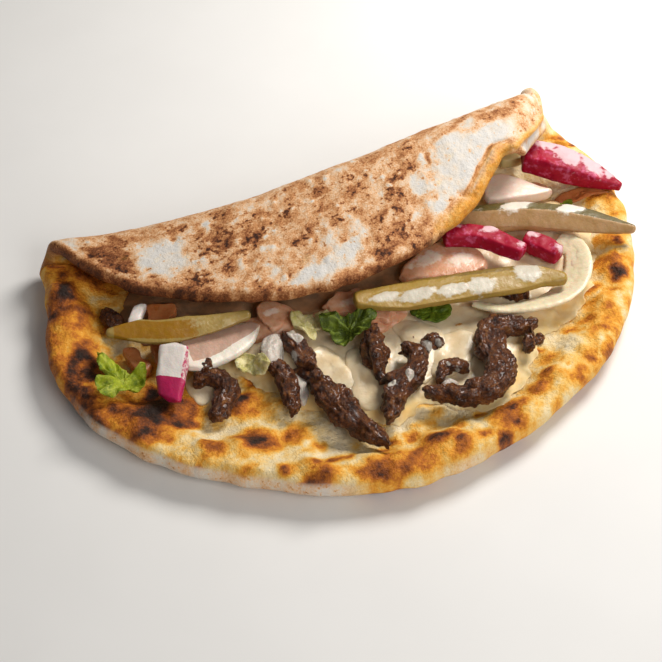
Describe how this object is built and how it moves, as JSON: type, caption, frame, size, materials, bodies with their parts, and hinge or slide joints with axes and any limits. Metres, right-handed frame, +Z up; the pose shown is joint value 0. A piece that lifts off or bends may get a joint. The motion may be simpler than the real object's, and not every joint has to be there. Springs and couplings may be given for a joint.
{
  "type": "filled flatbread",
  "caption": "Folded flatbread with its front half open, filled with shawarma beef strips, melted cheese, pickle spears, turnip sticks, onion, tomato and lettuce",
  "frame": {"origin": "middle of the underside, on the surface the flatbread lies on", "axes": "+X along the fold, to the right seen from the open side; +Y from the open side to the fold; +Z up"},
  "size_m": [0.2637, 0.172, 0.0475],
  "materials": {
    "bread": "dry, floury and toasted",
    "cheese": "glossy, melted",
    "beef": "dark, seared, oily",
    "tomato": "moist",
    "pale_leaf": "moist leaf",
    "dark_leaf": "moist leaf",
    "green_leaf": "moist leaf",
    "onion": "moist, sauced",
    "white_turnip": "moist",
    "red_turnip": "moist",
    "pickle": "moist, sauced"
  },
  "bodies": {
    "root": {"flatbread": "bread", "cheese": "cheese", "beef_1": "beef", "beef_2": "beef", "beef_3": "beef", "beef_4": "beef", "beef_5": "beef", "beef_6": "beef", "beef_7": "beef", "beef_8": "beef", "beef_9": "beef", "beef_10": "beef", "beef_11": "beef", "beef_12": "beef", "tomato_1": "tomato", "tomato_2": "tomato", "tomato_3": "tomato", "tomato_4": "tomato", "tomato_5": "tomato", "tomato_6": "tomato", "lettuce_pale_1": "pale_leaf", "lettuce_pale_2": "pale_leaf", "lettuce_pale_3": "pale_leaf", "lettuce_dark_1": "dark_leaf", "lettuce_dark_2": "dark_leaf", "lettuce_green_1": "green_leaf", "onion_1": "onion", "onion_2": "onion", "onion_3": "onion", "onion_ring": "onion", "turnip_1": "white_turnip", "turnip_2": "white_turnip", "turnip_3": "red_turnip", "turnip_4": "red_turnip", "turnip_5": "red_turnip", "pickle_1": "pickle", "pickle_2": "pickle", "pickle_3": "pickle"}
  },
  "joints": []
}
